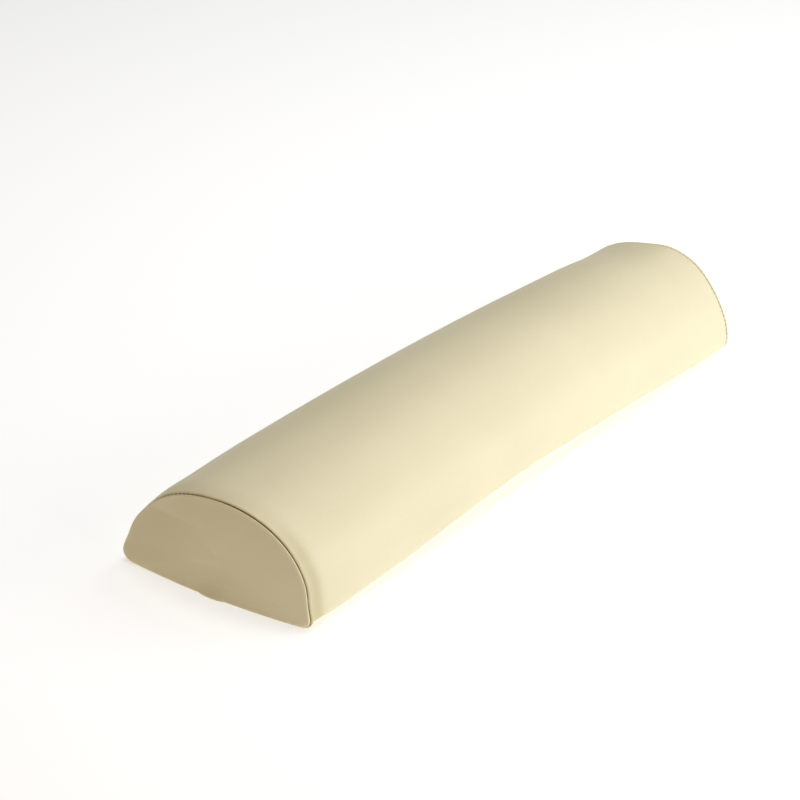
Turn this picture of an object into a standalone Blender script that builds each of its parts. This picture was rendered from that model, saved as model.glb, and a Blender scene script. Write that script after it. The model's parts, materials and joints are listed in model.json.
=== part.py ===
"""Half-round bolster pillow for a massage table.

A foam core lies in a wrap of wadding inside a vinyl cover. The cover is one long wrap, two D-shaped
end panels and a coil zip along the middle of the underside. Units are metres. X runs along the
bolster, Y across it and +Z up. The origin is on the ground below the middle. The near end is at -X,
and left is the +Y side.
"""

import math

import bmesh
import bpy

# Driving dimensions of the bolster
LENGTH = 0.660
WIDTH = 0.192
CROWN = 0.0905              # underside to top of the dome, on one section
ARCH_RISE = 0.0118          # the middle of the underside stands this far off the ground
ARCH_REACH = 0.290          # the arch would meet the ground at this distance from the middle
BLEND_START = 0.275         # from here outwards the arch flattens into the feet
CORNER_RADIUS = 0.013       # rounding along both long lower edges
DOME_POWER = 2.25           # 2 is an ellipse, more is squarer
DOME_STEPS = 24
CORNER_STEPS = 4
ARCH_STEPS = 6              # stations on each half of the arch
END_TAPER = ((0.0, 0.965), (0.005, 0.988), (0.014, 1.0))   # distance from the end, size of section

# Layers, from the outside in
GAP = 0.0003
VINYL = 0.0012
WADDING = 0.0050
WADDING_OPENING = 0.016     # half the gap between the wadding's edges, over the zip

# The valley that the zip lies in, along the middle of the underside
VALLEY_DEPTH = 0.0050
VALLEY_FLAT = 0.009         # half the width of its level part
VALLEY_EDGE = 0.027         # half its whole width
VALLEY_STEPS = 3
SLOT = 0.006                # half the opening between the cover's folded edges

# Zip, with heights measured up from the underside
TAPE_THICKNESS = 0.0006
TAPE_INNER = 0.0013
TAPE_OUTER = 0.0150
TAPE_LOW = VALLEY_DEPTH + VINYL + GAP
TAPE_TOP = TAPE_LOW + TAPE_THICKNESS
COIL_WIDTH = 0.0027
COIL_HEIGHT = 0.0021
COIL_TOP = TAPE_LOW - GAP
COIL_LOW = COIL_TOP - COIL_HEIGHT
COIL_CENTRE = 0.00155       # each half's distance from the middle where the zip is closed
COIL_PARTED = 0.00265       # and beyond the slider's nose, where the halves part
CHAIN_MARGIN = 0.0005       # the chain stops this far short of the wrap's ends

# Slider and pull
SLIDER_X = -0.262           # where the closed slider is parked
SLIDER_LENGTH = 0.0115
SLIDER_NOSE = 0.0055        # half width over the shoulders
SLIDER_TAIL = 0.0043
CHANNEL_NOSE = 0.0046       # half width of the way through for the coils
CHANNEL_TAIL = 0.0034
PLATE = 0.0011
PLATE_TOP = COIL_LOW - GAP
PLATE_LOW = PLATE_TOP - PLATE
INNER_LOW = TAPE_TOP + GAP
DIAMOND_WIDTH = 0.00085     # half width
BRIDGE_LENGTH = 0.0064
BRIDGE_WIDTH = 0.0020
BRIDGE_METAL = 0.0010
BRIDGE_WINDOW = 0.0022
PULL_THICKNESS = 0.0014
PULL_HEIGHT = PLATE_LOW - GAP - PULL_THICKNESS / 2      # level of the pull's axis
PULL_LENGTH = 0.027
PULL_EYE = 0.0023           # half width at the eye
PULL_END = 0.0031           # half width at the free end
PULL_HOLE = 0.0016          # half width of the eye's hole
PULL_HOLE_END = 0.0047

# Threads
THREAD_LINE = 0.0085        # stitching along the zip, distance from the middle
THREAD_RADIUS = 0.00025
SEAM_THREAD_RADIUS = 0.00035
SEAM_THREAD_INSET = 0.0004

# End panels
PANEL_INSET = 0.0011
ALLOWANCE = 0.008           # each panel's edge turns back this far inside the wrap

# Worked out from the dimensions above
ARCH_RADIUS = (ARCH_REACH ** 2 + ARCH_RISE ** 2) / (2 * ARCH_RISE)
ARCH_CENTRE = ARCH_RISE - ARCH_RADIUS
WRAP_END = LENGTH / 2 - VINYL - GAP
SCALE_AT_END = END_TAPER[0][1]

# Colour, roughness and metallic value of each material
MATERIALS = {
    "vinyl": ((0.83, 0.76, 0.53), 0.42, 0.0),
    "foam": ((0.80, 0.74, 0.55), 0.95, 0.0),
    "wadding": ((0.88, 0.88, 0.86), 1.0, 0.0),
    "zip_tape": ((0.70, 0.63, 0.44), 0.9, 0.0),
    "zip_coil": ((0.66, 0.60, 0.42), 0.45, 0.0),
    "zip_metal": ((0.62, 0.60, 0.56), 0.3, 1.0),
    "thread": ((0.40, 0.34, 0.20), 0.8, 0.0),
}


# Scene set-up

def clear_scene():
    """Remove every object from the scene."""
    for item in list(bpy.data.objects):
        bpy.data.objects.remove(item, do_unlink=True)


def new_collection(name):
    """Make a collection in the scene."""
    group = bpy.data.collections.new(name)
    bpy.context.scene.collection.children.link(group)
    return group


def new_material(node_name, kind):
    """Give each sub-part its own Principled material."""
    colour, roughness, metallic = MATERIALS[kind]
    material = bpy.data.materials.new(node_name + "_material")
    material.use_nodes = True
    shader = material.node_tree.nodes["Principled BSDF"]
    shader.inputs["Base Color"].default_value = (*colour, 1.0)
    shader.inputs["Roughness"].default_value = roughness
    shader.inputs["Metallic"].default_value = metallic
    material.diffuse_color = (*colour, 1.0)
    return material


def finish_part(item, kind, group, parent=None):
    """Name the material, shade the piece and file it in the object's collection."""
    item.data.materials.clear()
    item.data.materials.append(new_material(item.name, kind))
    item.data.shade_smooth()
    item.data.set_sharp_from_angle(angle=math.radians(35))
    for holder in list(item.users_collection):
        holder.objects.unlink(item)
    group.objects.link(item)
    item.parent = parent
    return item


# Curves made into meshes

def add_spline(curve, points, closed, radii=None):
    """Add one POLY spline to a curve."""
    spline = curve.splines.new("POLY")
    spline.points.add(len(points) - 1)
    for number, place in enumerate(points):
        spline.points[number].co = (*place, 1.0)
        spline.points[number].radius = radii[number] if radii else 1.0
    spline.use_cyclic_u = closed


def curve_object(name, curve):
    """Put a curve in the scene."""
    item = bpy.data.objects.new(name, curve)
    bpy.context.scene.collection.objects.link(item)
    return item


def weld(mesh):
    """Join the points that lie together, such as those of a curve's caps, and face outwards."""
    work = bmesh.new()
    work.from_mesh(mesh)
    bmesh.ops.remove_doubles(work, verts=work.verts, dist=0.000002)
    bmesh.ops.recalc_face_normals(work, faces=work.faces)
    work.to_mesh(mesh)
    work.free()


def as_mesh(item):
    """Replace a curve object by a mesh object whose caps are welded on."""
    graph = bpy.context.evaluated_depsgraph_get()
    mesh = bpy.data.meshes.new_from_object(item.evaluated_get(graph))
    weld(mesh)
    solid = bpy.data.objects.new(item.name, mesh)
    solid.matrix_world = item.matrix_world
    bpy.context.scene.collection.objects.link(solid)
    name = item.name
    bpy.data.objects.remove(item, do_unlink=True)
    solid.name = name
    return solid


def sweep(name, outline, stations):
    """Sweep a closed (y, z) outline along stations of (x, y, z, size of section)."""
    profile = bpy.data.curves.new(name + "_profile", "CURVE")
    profile.dimensions = "2D"
    add_spline(profile, [(-y, z, 0.0) for y, z in outline], closed=True)
    guide = curve_object(name + "_profile", profile)
    spine = bpy.data.curves.new(name, "CURVE")
    spine.dimensions = "3D"
    spine.twist_mode = "Z_UP"
    spine.bevel_mode = "OBJECT"
    spine.bevel_object = guide
    spine.use_fill_caps = True
    add_spline(spine, [s[:3] for s in stations], closed=False, radii=[s[3] for s in stations])
    solid = as_mesh(curve_object(name, spine))
    bpy.data.objects.remove(guide, do_unlink=True)
    return solid


def tube(name, points, radius, closed):
    """Make a round thread along a list of points."""
    curve = bpy.data.curves.new(name, "CURVE")
    curve.dimensions = "3D"
    curve.bevel_depth = radius
    curve.bevel_resolution = 2
    curve.use_fill_caps = True
    add_spline(curve, points, closed)
    return as_mesh(curve_object(name, curve))


def plate(name, outlines, thickness):
    """Make a flat plate, centred on its own XY plane, from closed outlines; a second one is a hole."""
    curve = bpy.data.curves.new(name, "CURVE")
    curve.dimensions = "2D"
    curve.fill_mode = "BOTH"
    curve.extrude = thickness / 2
    for outline in outlines:
        add_spline(curve, [(x, y, 0.0) for x, y in outline], closed=True)
    return as_mesh(curve_object(name, curve))


def move_mesh(item, x=0.0, y=0.0, z=0.0):
    """Shift a piece's mesh within its own frame."""
    for vertex in item.data.vertices:
        vertex.co.x += x
        vertex.co.y += y
        vertex.co.z += z
    return item


def combine(item, other, operation):
    """Apply one EXACT boolean and remove the second object."""
    modifier = item.modifiers.new(operation, "BOOLEAN")
    modifier.operation = operation
    modifier.solver = "EXACT"
    modifier.object = other
    graph = bpy.context.evaluated_depsgraph_get()
    result = bpy.data.meshes.new_from_object(item.evaluated_get(graph))
    weld(result)
    item.modifiers.clear()
    item.data = result
    bpy.data.objects.remove(other, do_unlink=True)
    return item


# The bolster's section, as (y, z) points

def valley_height(y):
    """Height of the underside at y: level, with a shallow valley along the zip."""
    if abs(y) <= VALLEY_FLAT:
        return VALLEY_DEPTH
    if abs(y) >= VALLEY_EDGE:
        return 0.0
    part = (abs(y) - VALLEY_FLAT) / (VALLEY_EDGE - VALLEY_FLAT)
    return VALLEY_DEPTH * (1 + math.cos(math.pi * part)) / 2


def half_section(slot, valley):
    """Right half of the section, from the slot's edge round to just short of the top."""
    side = WIDTH / 2
    dome = CROWN - CORNER_RADIUS
    points = []
    if valley:
        points.append((slot, valley_height(slot)))
        for step in range(VALLEY_STEPS + 1):
            y = VALLEY_FLAT + (VALLEY_EDGE - VALLEY_FLAT) * step / VALLEY_STEPS
            if y > slot:
                points.append((y, valley_height(y)))
    for step in range(CORNER_STEPS):
        turn = math.pi / 2 * step / CORNER_STEPS
        y = side - CORNER_RADIUS + CORNER_RADIUS * math.sin(turn)
        points.append((y, CORNER_RADIUS * (1 - math.cos(turn))))
    for step in range(DOME_STEPS // 2):
        turn = math.pi * step / DOME_STEPS
        y = side * math.cos(turn) ** (2 / DOME_POWER)
        z = CORNER_RADIUS + dome * math.sin(turn) ** (2 / DOME_POWER)
        points.append((y, z))
    return points


def section(inset, slot=SLOT, valley=True, scale=1.0):
    """Open path round the section, moved inwards by inset, from slot edge to slot edge."""
    right = half_section(slot, valley)
    left = [(-y, z) for y, z in reversed(right)]
    path = right + [(0.0, CROWN)] + left
    path = [(y * scale, z * scale) for y, z in path]
    moved = []
    for number, (y, z) in enumerate(path):
        before = path[max(number - 1, 0)] if valley else path[number - 1]
        after = path[min(number + 1, len(path) - 1)] if valley else path[(number + 1) % len(path)]
        along = (after[0] - before[0], after[1] - before[1])
        size = math.hypot(*along)
        moved.append((y - inset * along[1] / size, z + inset * along[0] / size))
    return moved


def shell_section(outer, inner, slot):
    """Closed outline of a layer that is open at the slot."""
    return section(outer, slot) + list(reversed(section(inner, slot)))


# The lie of the bolster along its length

def arch(x):
    """Height of the underside above the ground at x."""
    distance = abs(x)
    if distance <= BLEND_START:
        return ARCH_CENTRE + math.sqrt(ARCH_RADIUS ** 2 - distance ** 2)
    height = ARCH_CENTRE + math.sqrt(ARCH_RADIUS ** 2 - BLEND_START ** 2)
    fall = BLEND_START / math.sqrt(ARCH_RADIUS ** 2 - BLEND_START ** 2)
    reach = 2 * height / fall
    left = max(1 - (distance - BLEND_START) / reach, 0.0)
    return height * left ** 2


def section_size(x):
    """Size of the section at x: it draws in a little at both ends."""
    distance = max(WRAP_END - abs(x), 0.0)
    for (near, small), (far, large) in zip(END_TAPER, END_TAPER[1:]):
        if distance <= far:
            return small + (large - small) * (distance - near) / (far - near)
    return 1.0


def long_positions(end):
    """Places along X for a sweep that ends at plus and minus end."""
    foot = BLEND_START + 2 * arch(BLEND_START) * ARCH_RADIUS / BLEND_START
    half = [BLEND_START * step / ARCH_STEPS for step in range(1, ARCH_STEPS + 1)]
    half += [(BLEND_START + foot) / 2, foot]
    half += [WRAP_END - END_TAPER[2][0], WRAP_END - END_TAPER[1][0]]
    half = [x for x in half if x < end] + [end]
    return [-x for x in reversed(half)] + [0.0] + half


def cover_stations(end=WRAP_END):
    """Stations for the cover, wadding and foam."""
    return [(x, 0.0, arch(x), section_size(x)) for x in long_positions(end)]


def chain_stations(height, aside=0.0):
    """Stations for a strip of the zip at a height above the underside."""
    end = WRAP_END - CHAIN_MARGIN
    return [(x, aside, arch(x) + height, 1.0) for x in long_positions(end)]


def parting_stations(side):
    """Stations for one coil, which bends outwards beyond the slider's nose."""
    bend_start = SLIDER_X - 0.0005
    bend_end = SLIDER_X - 0.0030
    places = [x for x in long_positions(WRAP_END - CHAIN_MARGIN) if abs(x - SLIDER_X) > 0.010]
    places = sorted(places + [bend_start, bend_end])
    height = (COIL_LOW + COIL_TOP) / 2
    rows = []
    for x in places:
        aside = COIL_PARTED if x <= bend_end + 1e-9 else COIL_CENTRE
        rows.append((x, side * aside, arch(x) + height, 1.0))
    return rows


# Pieces

def make_foam(group):
    """Solid foam core, half round."""
    inset = VINYL + GAP + WADDING + GAP
    solid = sweep("foam_core", section(inset, VALLEY_FLAT / 2), cover_stations())
    finish_part(solid, "foam", group)


def make_wadding(group):
    """Soft wrap round the foam, with its edges apart over the zip."""
    outer = VINYL + GAP
    outline = shell_section(outer, outer + WADDING, WADDING_OPENING)
    stations = cover_stations(WRAP_END - ALLOWANCE - GAP)
    finish_part(sweep("wadding_wrap", outline, stations), "wadding", group)


def make_wrap(group):
    """Vinyl wrap of the cover, open along the zip."""
    outline = shell_section(0.0, VINYL, SLOT)
    finish_part(sweep("body_panel", outline, cover_stations()), "vinyl", group)


def make_end(name, side, group):
    """D-shaped vinyl panel that closes one end, its turned-in edge, and the thread of its seam."""
    rim = section(PANEL_INSET, valley=False, scale=SCALE_AT_END)
    plane = side * (LENGTH / 2 - VINYL / 2)
    panel = plate("end_panel_" + name, [rim], VINYL)
    panel.rotation_euler = (math.pi / 2, 0.0, math.pi / 2)
    panel.location.x = plane
    bpy.context.view_layer.update()
    inside = VINYL + GAP
    outline = shell_section(inside, inside + VINYL, WADDING_OPENING)
    depths = (0.0, END_TAPER[1][0], ALLOWANCE)
    places = sorted([plane] + [side * (WRAP_END - depth) for depth in depths])
    stations = [(x, 0.0, 0.0, section_size(x)) for x in places]
    combine(panel, sweep("turned_edge_" + name, outline, stations), "UNION")
    finish_part(panel, "vinyl", group)
    route = section(SEAM_THREAD_INSET, valley=False, scale=SCALE_AT_END)
    place = side * (WRAP_END + GAP + SEAM_THREAD_RADIUS)
    thread = tube("seam_thread_" + name, [(place, y, z) for y, z in route], SEAM_THREAD_RADIUS, True)
    finish_part(thread, "thread", group)


def make_tape(name, side, group):
    """Woven tape on one side of the zip, inside the cover's edge."""
    half = (TAPE_OUTER - TAPE_INNER) / 2
    rise = TAPE_THICKNESS / 2
    outline = [(-half, -rise), (half, -rise), (half, rise), (-half, rise)]
    stations = chain_stations((TAPE_LOW + TAPE_TOP) / 2, side * (TAPE_INNER + half))
    finish_part(sweep("zip_tape_" + name, outline, stations), "zip_tape", group)


def make_coil(name, side, group):
    """One coil of the zip, as the strip that its turns fill."""
    half = COIL_WIDTH / 2
    low = -COIL_HEIGHT / 2
    top = COIL_HEIGHT / 2
    chamfer = COIL_HEIGHT / 4
    outline = [(-half + chamfer, low), (half - chamfer, low), (half, low + chamfer)]
    outline += [(half, top), (-half, top), (-half, low + chamfer)]
    finish_part(sweep("zip_coil_" + name, outline, parting_stations(side)), "zip_coil", group)


def make_zip_thread(name, side, group):
    """Line of stitching that holds the cover's edge to the tape."""
    height = VALLEY_DEPTH - GAP - THREAD_RADIUS
    route = [station[:3] for station in chain_stations(height, side * THREAD_LINE)]
    finish_part(tube("zip_thread_" + name, route, THREAD_RADIUS, False), "thread", group)


def shield(nose, tail, overhang=0.0):
    """Slider outline: wide shoulders at the nose, which is at -X, and a narrower tail."""
    front = -SLIDER_LENGTH / 2 - overhang
    back = SLIDER_LENGTH / 2 + overhang
    waist = 0.0
    notch = 0.0 if overhang else 0.0012
    right = [(front + notch, nose * 0.45), (front, nose * 0.7), (front + notch, nose)]
    right += [(waist - 0.001, nose), (waist + 0.002, tail), (back - notch, tail)]
    right += [(back, tail * 0.75)]
    return right + [(x, -y) for x, y in reversed(right)]


def bridge_outline():
    """Loop over the slider that holds the pull, in the slider's (x, z) plane."""
    outer = BRIDGE_LENGTH / 2
    inner = outer - BRIDGE_METAL
    root = PLATE_LOW + PLATE / 2
    window = PLATE_LOW - BRIDGE_WINDOW
    bottom = window - BRIDGE_METAL
    cut = BRIDGE_METAL * 0.7
    left_side = [(-inner, root), (-outer, root), (-outer, bottom + cut), (-outer + cut, bottom)]
    right_side = [(outer - cut, bottom), (outer, bottom + cut), (outer, root), (inner, root)]
    return left_side + right_side + [(inner, window), (-inner, window)]


def make_slider(axis, group):
    """Two plates joined by the diamond, with side walls and the pull's bridge."""
    outline = shield(SLIDER_NOSE, SLIDER_TAIL)
    slider = plate("zip_slider", [outline], PLATE)
    move_mesh(slider, z=PLATE_LOW + PLATE / 2)
    wall_low = PLATE_TOP - PLATE / 2
    wall_top = TAPE_LOW - GAP
    wall_rim = [(x * 0.98, y * 0.98) for x, y in outline]
    walls = plate("slider_walls", [wall_rim], wall_top - wall_low)
    move_mesh(walls, z=(wall_low + wall_top) / 2)
    channel = plate("slider_channel", [shield(CHANNEL_NOSE, CHANNEL_TAIL, 0.002)], PLATE * 8)
    move_mesh(channel, z=wall_low)
    combine(walls, channel, "DIFFERENCE")
    combine(slider, walls, "UNION")
    inner = plate("slider_inner", [outline], PLATE)
    move_mesh(inner, z=INNER_LOW + PLATE / 2)
    nose = -SLIDER_LENGTH / 2 + 0.0004
    rhombus = [(nose, -0.0005), (nose + 0.0016, -DIAMOND_WIDTH), (-0.0010, 0.0)]
    rhombus += [(nose + 0.0016, DIAMOND_WIDTH), (nose, 0.0005)]
    low = PLATE_TOP - PLATE / 2
    top = INNER_LOW + PLATE / 2
    diamond = plate("slider_diamond", [rhombus], top - low)
    move_mesh(diamond, z=(low + top) / 2)
    combine(slider, diamond, "UNION")
    combine(slider, inner, "UNION")
    bridge = plate("slider_bridge", [bridge_outline()], BRIDGE_WIDTH)
    bridge.rotation_euler = (math.pi / 2, 0.0, 0.0)
    bpy.context.view_layer.update()
    combine(slider, bridge, "UNION")
    slider.location = (0.0, 0.0, ARCH_RADIUS)
    return finish_part(slider, "zip_metal", group, axis)


def make_pull(slider, group):
    """Flat pull whose eye goes round the bridge; its origin is on its own axis."""
    bar = PULL_THICKNESS / 2
    cut = 0.0012
    rim = [(-bar, -PULL_EYE), (0.004, -PULL_EYE), (0.011, -PULL_END), (PULL_LENGTH - cut, -PULL_END)]
    rim += [(PULL_LENGTH, -PULL_END + cut), (PULL_LENGTH, PULL_END - cut)]
    rim += [(PULL_LENGTH - cut, PULL_END), (0.011, PULL_END), (0.004, PULL_EYE), (-bar, PULL_EYE)]
    hole = [(bar, -PULL_HOLE), (PULL_HOLE_END, -PULL_HOLE)]
    hole += [(PULL_HOLE_END, PULL_HOLE), (bar, PULL_HOLE)]
    pull = plate("zip_pull", [rim, hole], PULL_THICKNESS)
    finish_part(pull, "zip_metal", group, slider)
    pull.location = (0.0, 0.0, PULL_HEIGHT)


def make_zip_axis():
    """Empty at the centre of the arch, which the slider swings about as it follows the zip."""
    axis = bpy.data.objects.new("zip_travel_axis", None)
    bpy.context.scene.collection.objects.link(axis)
    axis.location = (0.0, 0.0, ARCH_CENTRE)
    axis.rotation_euler = (0.0, math.asin(SLIDER_X / ARCH_RADIUS), 0.0)
    return axis


def main():
    """Build the bolster."""
    clear_scene()
    group = new_collection("bolster_pillow")
    make_foam(group)
    make_wadding(group)
    make_wrap(group)
    make_end("near", -1, group)
    make_end("far", 1, group)
    for name, side in (("left", 1), ("right", -1)):
        make_tape(name, side, group)
        make_coil(name, side, group)
        make_zip_thread(name, side, group)
    slider = make_slider(make_zip_axis(), group)
    make_pull(slider, group)


main()
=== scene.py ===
"""Looks of the half-round bolster pillow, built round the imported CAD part.

The cover's skin is modelled straight, as rings along X, and is then laid over the bolster's arch. Near
is the -X end and left is the +Y side. Units are metres.
"""

import json
import math

import bmesh
import bpy
import numpy as np
from mathutils import Matrix, Vector


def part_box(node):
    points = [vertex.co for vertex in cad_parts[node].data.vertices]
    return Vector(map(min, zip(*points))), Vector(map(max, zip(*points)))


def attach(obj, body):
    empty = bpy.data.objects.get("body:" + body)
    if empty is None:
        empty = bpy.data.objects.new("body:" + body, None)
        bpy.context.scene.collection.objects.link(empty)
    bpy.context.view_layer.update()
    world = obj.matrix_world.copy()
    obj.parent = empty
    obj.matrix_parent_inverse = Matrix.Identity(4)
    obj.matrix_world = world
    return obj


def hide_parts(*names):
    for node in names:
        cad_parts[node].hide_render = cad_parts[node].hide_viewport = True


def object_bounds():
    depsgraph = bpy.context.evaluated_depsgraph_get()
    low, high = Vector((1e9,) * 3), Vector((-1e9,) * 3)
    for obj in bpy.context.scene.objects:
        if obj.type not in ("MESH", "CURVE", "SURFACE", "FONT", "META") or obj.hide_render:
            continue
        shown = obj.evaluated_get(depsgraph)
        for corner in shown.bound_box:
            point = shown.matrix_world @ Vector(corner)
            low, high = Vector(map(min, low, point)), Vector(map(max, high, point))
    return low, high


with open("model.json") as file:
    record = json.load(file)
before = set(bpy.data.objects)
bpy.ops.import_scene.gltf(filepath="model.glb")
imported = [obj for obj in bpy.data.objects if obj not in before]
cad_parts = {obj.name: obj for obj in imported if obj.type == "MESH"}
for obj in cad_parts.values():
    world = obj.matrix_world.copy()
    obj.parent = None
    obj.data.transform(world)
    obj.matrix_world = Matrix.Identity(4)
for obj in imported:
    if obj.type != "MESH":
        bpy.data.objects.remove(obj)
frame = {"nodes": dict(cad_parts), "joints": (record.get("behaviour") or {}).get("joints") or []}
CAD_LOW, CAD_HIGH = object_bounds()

# The whole bolster, from the frame
END = (CAD_HIGH.x - CAD_LOW.x) / 2      # distance of both ends' faces from the middle
WIDTH = CAD_HIGH.y - CAD_LOW.y
HEIGHT = CAD_HIGH.z - CAD_LOW.z
ZIP_JOINT = next(j for j in frame["joints"] if j["name"] == "zip_travel")
ARCH_CENTRE = ZIP_JOINT["pos_m"][2]

# The arch of the underside, as in the CAD part
ARCH_RISE = 0.0118
ARCH_RADIUS = ARCH_RISE - ARCH_CENTRE
BLEND_START = 0.275                     # from here outwards the arch flattens into the feet
BLEND_HEIGHT = ARCH_CENTRE + math.sqrt(ARCH_RADIUS ** 2 - BLEND_START ** 2)
BLEND_REACH = 2 * BLEND_HEIGHT * math.sqrt(ARCH_RADIUS ** 2 - BLEND_START ** 2) / BLEND_START

# The stuffed section at the near end, the middle and the far end
CROWN = HEIGHT - ARCH_RISE
WIDTHS = (WIDTH * 1.036, WIDTH, WIDTH * 0.968)
CROWNS = (CROWN * 1.074, CROWN * 1.011, CROWN * 1.015)
DOME_POWERS = (2.34, 2.12, 2.09)        # 2 is an ellipse, more is squarer
CORNER = 0.0137                         # rounding along both long lower edges
SHARP_CORNER = 0.0110                   # and where they meet the near end
SHARP_REACH = 0.014                     # the rounding grows this far in from there
END_SIZES = (0.954, 0.994)              # size of the section at the near and far seam
END_FADES = (0.012, 0.015)              # how far in the section keeps growing
SECTION_POINTS = (22, 24, 12, 76)       # by the zip, along the base, round a corner, half the dome

# Features of the stuffed cover: how far each moves it along X, Y and Z
NEAR_TURN = (-0.0497, 0.0, 0.0)         # the near end's face slopes
EAR_FACE = (-0.0098, 0.0, 0.0)          # its left lower corner stands out
EAR_SIDE = (0.0, 0.0118, 0.0013)        # and lies further left
EAR_TIP = (0.0, 0.0030, 0.0)            # its tip most of all
BELLY = (-0.0060, 0.0, 0.0)             # bulge of the near end's lower edge
ZIP_END_FOLD = (-0.0026, 0.0, 0.0)      # fold over the zip's near end
CORNER_LIFT = (0.0, 0.0, 0.0030)        # behind its tip, the right lower corner is off the ground
CORNER_POINT = (0.0, -0.0026, -0.0020)  # the tip itself points out and down
FLANK = (0.0, 0.0018, 0.0)              # above it the right side is flat
SHOULDER = (0.0, 0.0024, 0.0)           # the left side is full
SEAM_SINK = (0.0, 0.0, -0.0024)         # the near seam is low on the top left
NEAR_FILL = (0.0, 0.0, 0.0010)          # the top's left is full towards both ends
FAR_FILL = (0.0, 0.0, 0.0023)
FAR_LEAN = (0.0018, 0.0, 0.0)           # the far end's top leans out
FAR_FOOT = (0.0053, 0.0, 0.0)           # and so does its foot
FAR_PEAK = (0.0, 0.0, 0.0022)           # the far seam peaks on its top
FAR_KNUCKLE = (0.0055, 0.0, 0.0030)     # and has a soft corner right of it
BEND = (0.0, 0.0007, 0.0)               # the middle lies to the left
HEM_WAVE = (0.0, 0.0, 0.0006)           # slow rise and fall of the right lower edge
HEM_WAVE_LENGTH = 0.260
PAST_END = 0.004                        # a point past an end's face counts as this far past at most

# The cover
VINYL = 0.0012
SLOT = 0.006                            # half the opening over the zip
VALLEY_DEPTH = 0.005                    # the zip lies in a valley this deep
VALLEY_AT_END = 0.0025                  # and this deep at both ends
VALLEY_FADE = (0.300, 0.322)            # it gets shallower between these distances
VALLEY_FLAT = 0.009                     # half the width of its flat bottom
VALLEY_EDGE = 0.027                     # and of the whole valley
STITCH_LINE = 0.0085                    # stitching along the zip, distance from the middle
STITCH_DENT = 0.00025                   # how far it pulls the cover in

# The end seams: a groove between the wrap's rolled edge and the end panel's lip
SEAM_IN_DOME = 0.0026                   # the wrap's edge lies this far in from the end's face
SEAM_IN_BASE = 0.0046                   # and this far along the base
WRAP_ROLL = 0.0009                      # radius of that edge
ROLL_STEPS = 6
SEAM_GAP = 0.0004                       # between the wrap's edge and the lip
LIP_INSET = 0.0004                      # the lip is this much smaller than the wrap
LIP_SHOULDER = 0.0016                   # how wide the lip turns over into the panel
LIP_STEPS = 12
PANEL_RINGS = (14, 44)                  # on a panel's inner and outer side
ALLOWANCE = 0.0035                      # the wrap turns in this far at the seam
RING_REACH = 0.040                      # the wrap's rings stand closer together this near its edge
RING_COUNTS = (25, 113)                 # rings there, and between both ends
RING_GROWTH = 1.5
SEAM_STITCH = 0.005                     # from one rung of thread to the next
RUNG_HALF = 0.0011                      # half a rung's length, across the groove
RUNG_DEPTH = 0.0006                     # depth of its ends inside the outline
RUNG_SAG = 0.00025                      # and how much deeper its middle is
RUNG_TAPER = (0.5, 0.9, 1.0, 1.0, 1.0, 0.9, 0.5)
SEAM_THREAD = 0.0003                    # radius
PANEL_BULGES = (0.0030, 0.0045)         # of the near and the far panel
TIP_Y = 0.0885                          # how far out the right lower corner is
CORNER_POCKET = 0.0030                  # the near panel is tucked in there this far
WRAP_TIP = 0.0024                       # and the wrap comes forward below it
NECK = 0.0012                           # the seams pull the wrap in this far
PUCKER = 0.00022                        # and pucker it, more low down
PUCKER_LENGTHS = (0.0097, 0.0143, 0.0231)
PANEL_HEART = 0.4 * CROWN               # height of the point that the panels' rings shrink to
PANEL_POWER = 2.6                       # the panels' crown: higher is flatter, with a rounder rim

# Painted shade mixed into the vinyl's colour, as parts of 1
SEAM_SHADE = 0.35                       # painted shade in and beside the seams' grooves
DENT_SHADE = 0.33                       # painted shade in a band behind the near seam, where the wrap dents
FAR_SHADE = 0.20                        # the far seam gets weaker painted shade
HEM_SHADE = 0.10                        # painted shade along both lower edges
PANEL_SHADE = 0.09                      # painted shade, a darker and warmer tint, on both end panels' faces

# The simulation that stuffs the cover, on a coarser closed bag
BAG_SKIP = 4                            # the bag has one column for this many of the skin's
BAG_RING_REACH = 0.036
BAG_RING_COUNTS = (7, 76)
BAG_RING_GROWTH = 1.4
BAG_INSET = 0.0012                      # it starts this much smaller and swells
BAG_CROWN = 0.6                         # and its ends start with this part of their bulge
BAG_PRESSURE = 4.0
BAG_STIFFNESS = 10.0
BAG_FRAMES = 20
BAG_MIDDLE = 0.17                       # half the stretch whose mean section stays as fitted
BAG_NECK = 0.150                        # and where that starts, in from the end's face
BAG_CAP = 0.0020                        # no point ends further than this from the fitted form
BAG_SMOOTHINGS = 3
BAG_PARTS = np.linspace(0.10, 0.94, 10)  # sizes of the rings on its end panels

# Layers inside
WADDING = 0.0050
WADDING_UNEVEN = 0.0004
WADDING_SHEET = WADDING - 2 * WADDING_UNEVEN
WADDING_OPENING = 0.016
WADDING_END = 0.010                     # it stops this far in from the end's face
WADDING_RINGS = 90
FOAM_RINGS = 80
FOAM_ROUNDING = 0.001                   # along both ends' edges
LAYER_GAP = 0.0003

# Zip
TUBE_SIDES = 6                          # of every thread and wire
TUBE_START = (0.13, 0.31, 0.94)         # direction off every path, to start round it from
ZIP_STOP = SEAM_IN_BASE + 0.0004        # the zip's visible end, in from the end's face
TAPE_LOW = VALLEY_DEPTH + VINYL + LAYER_GAP
TAPE_THICKNESS = 0.0006
TAPE_RIPPLE = 0.00008
COIL_WIDTH = 0.0027
COIL_HEIGHT = 0.0021
COIL_PITCH = 0.0013
COIL_STEPS = 10                         # points in one turn
COIL_WIRE = 0.0003                      # radius
COIL_MESHED = 0.0014                    # distance of a coil's middle from the zip's, closed
COIL_PARTED = 0.00265                   # and open
COIL_PARTING = (-0.004, 0.001)          # they part between here, from the slider's near end
COIL_INSET = 0.0004                     # they start this far in from the tape's end
ZIP_STITCH = 0.0036                     # from one stitch to the next
ZIP_STITCH_LENGTH = 0.0030
ZIP_STITCH_END = 0.002                  # from the tape's end to the first stitch
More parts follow.
